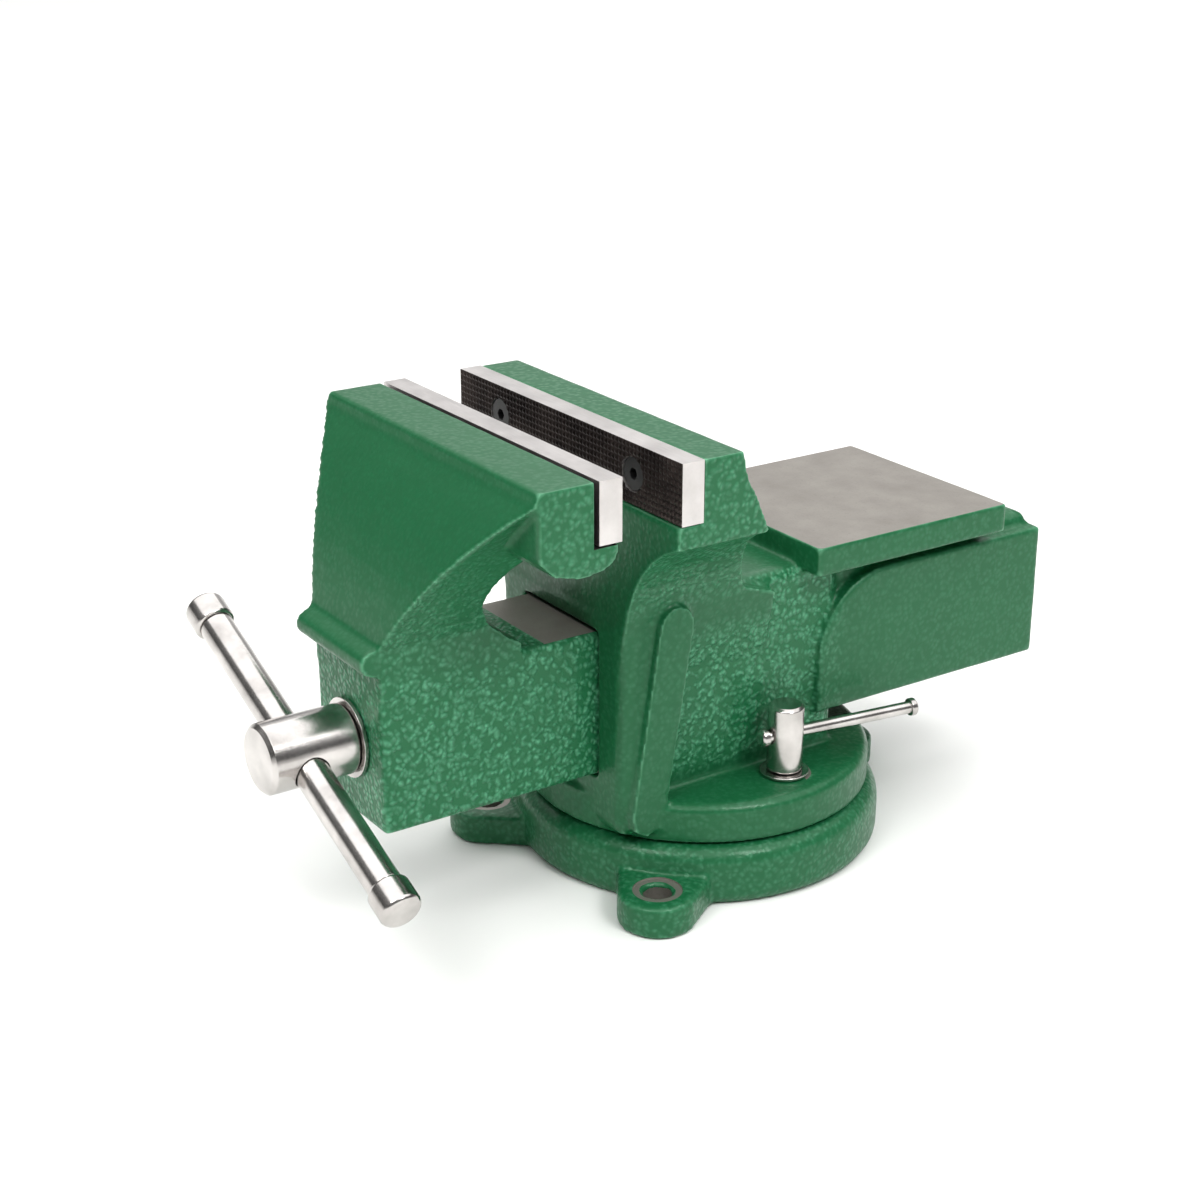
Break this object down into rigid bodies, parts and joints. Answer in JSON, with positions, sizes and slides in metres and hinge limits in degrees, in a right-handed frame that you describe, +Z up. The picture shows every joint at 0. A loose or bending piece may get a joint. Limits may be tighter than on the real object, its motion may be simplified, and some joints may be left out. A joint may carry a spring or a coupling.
{
  "type": "bench vise",
  "caption": "Bench vise with a swivel base, an anvil behind the fixed jaw, plated jaw faces and a sliding tommy-bar handle.",
  "frame": {"origin": "on the swivel axis, in the plane of the bench", "axes": "+Z up, -Y towards the front where the handle is, +X towards the right jaw end as seen from the handle"},
  "size_m": [0.1572, 0.3397, 0.185],
  "materials": {
    "hammered_green_paint": "cast iron under hammered green enamel, gloss",
    "jaw_plate_steel": "ground, serrated working face",
    "bright_steel": "bright plated",
    "black_oxide_steel": "black oxide",
    "cast_bronze": "as cast, machined bore"
  },
  "bodies": {
    "base": {"swivel_base": "hammered_green_paint"},
    "vise_body": {"fixed_jaw": "hammered_green_paint", "fixed_jaw_plate": "jaw_plate_steel", "fixed_plate_screw_left": "black_oxide_steel", "fixed_plate_screw_right": "black_oxide_steel", "main_nut": "cast_bronze", "main_nut_bolt": "black_oxide_steel", "lock_bolt_left": "bright_steel", "lock_bolt_right": "bright_steel", "lock_washer_left": "bright_steel", "lock_washer_right": "bright_steel"},
    "jaw_carriage": {"moving_jaw": "hammered_green_paint", "moving_jaw_plate": "jaw_plate_steel", "moving_plate_screw_left": "black_oxide_steel", "moving_plate_screw_right": "black_oxide_steel"},
    "spindle": {"main_screw": "bright_steel", "thrust_washer": "bright_steel", "spring_seat_washer": "bright_steel", "thrust_spring": "black_oxide_steel", "retaining_collar": "bright_steel", "collar_pin": "black_oxide_steel"},
    "handle": {"handle_bar": "bright_steel", "handle_cap_left": "bright_steel", "handle_cap_right": "bright_steel"},
    "lock_left": {"lock_nut_left": "bright_steel"},
    "lock_right": {"lock_nut_right": "bright_steel"},
    "lock_lever_left": {"lock_bar_left": "bright_steel", "lock_bar_cap_left": "bright_steel"},
    "lock_lever_right": {"lock_bar_right": "bright_steel", "lock_bar_cap_right": "bright_steel"}
  },
  "joints": [
    {"name": "swivel", "type": "hinge", "parent": "base", "child": "vise_body", "pos_m": [0, 0, 0.0243], "axis": [0, 0, 1], "continuous": true},
    {"name": "jaw_slide", "type": "slide", "parent": "vise_body", "child": "jaw_carriage", "axis": [0, -1, 0], "range_m": [-0.0235, 0.1012]},
    {"name": "screw_turn", "type": "hinge", "parent": "jaw_carriage", "child": "spindle", "pos_m": [0, -0.157, 0.078], "axis": [0, -1, 0], "range_deg": [-1700, 7300]},
    {"name": "handle_slide", "type": "slide", "parent": "spindle", "child": "handle", "axis": [0.9272, 0, -0.3746], "range_m": [-0.055, 0.055]},
    {"name": "lock_turn_left", "type": "hinge", "parent": "vise_body", "child": "lock_left", "pos_m": [-0.051, 0.005, 0.057], "axis": [0, 0, 1], "range_deg": [-10, 164]},
    {"name": "lock_turn_right", "type": "hinge", "parent": "vise_body", "child": "lock_right", "pos_m": [0.051, 0.005, 0.057], "axis": [0, 0, -1], "range_deg": [-10, 164]},
    {"name": "lock_bar_slide_left", "type": "slide", "parent": "lock_left", "child": "lock_lever_left", "axis": [0.1392, -0.9903, 0], "range_m": [0, 0.014]},
    {"name": "lock_bar_slide_right", "type": "slide", "parent": "lock_right", "child": "lock_lever_right", "axis": [-0.1392, -0.9903, 0], "range_m": [0, 0.014]}
  ],
  "couplings": [
    {"joint": "screw_turn", "follows": "jaw_slide", "rad_per_m": 1256.6}
  ]
}
